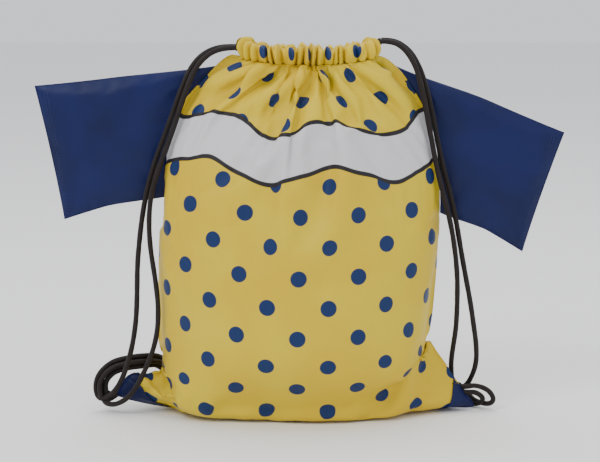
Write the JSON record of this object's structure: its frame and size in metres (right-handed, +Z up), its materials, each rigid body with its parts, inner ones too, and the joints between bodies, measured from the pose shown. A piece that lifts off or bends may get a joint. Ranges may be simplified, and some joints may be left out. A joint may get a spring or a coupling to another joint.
{
  "type": "drawstring backpack",
  "caption": "Drawstring gym sack cut like a short-sleeved shirt, filled and standing, with a gathered mouth, two sleeves, reinforced corners and braided cords.",
  "frame": {"origin": "on the floor, under the middle of the box round the bag and its sleeves, without the free cords", "axes": "+X to the viewer's right along the shoulders, -Y the printed front, +Z up"},
  "size_m": [0.496, 0.1649, 0.362],
  "materials": {
    "yellow_cloth": "thin coated polyester, satin, printed with dots and a wavy band",
    "navy_cloth": "thin coated polyester, satin",
    "cord": "braided polyester",
    "tab_webbing": "woven tape"
  },
  "bodies": {
    "bag": {"front_panel": "yellow_cloth", "back_panel": "yellow_cloth", "front_hem": "yellow_cloth", "back_hem": "yellow_cloth", "left_corner_patch_front": "navy_cloth", "left_corner_patch_back": "navy_cloth", "right_corner_patch_front": "navy_cloth", "right_corner_patch_back": "navy_cloth", "left_cord_in_hem": "cord", "right_cord_in_hem": "cord", "left_cord_inner_strand": "cord", "left_cord_outer_strand": "cord", "right_cord_inner_strand": "cord", "right_cord_outer_strand": "cord", "left_cord_bundle": "cord", "right_cord_bundle": "cord", "left_cord_knot": "cord", "right_cord_knot": "cord", "left_loop_tab": "tab_webbing", "right_loop_tab": "tab_webbing"},
    "left_sleeve": {"left_sleeve_front": "navy_cloth", "left_sleeve_back": "navy_cloth"},
    "right_sleeve": {"right_sleeve_front": "navy_cloth", "right_sleeve_back": "navy_cloth"}
  },
  "joints": [
    {"name": "left_sleeve_swing", "type": "hinge", "parent": "bag", "child": "left_sleeve", "pos_m": [-0.1235, 0, 0.271], "axis": [-0.3511, 0, -0.9363], "range_deg": [0, 80]},
    {"name": "right_sleeve_swing", "type": "hinge", "parent": "bag", "child": "right_sleeve", "pos_m": [0.127, 0, 0.263], "axis": [-0.2691, 0, 0.9631], "range_deg": [0, 80]}
  ]
}
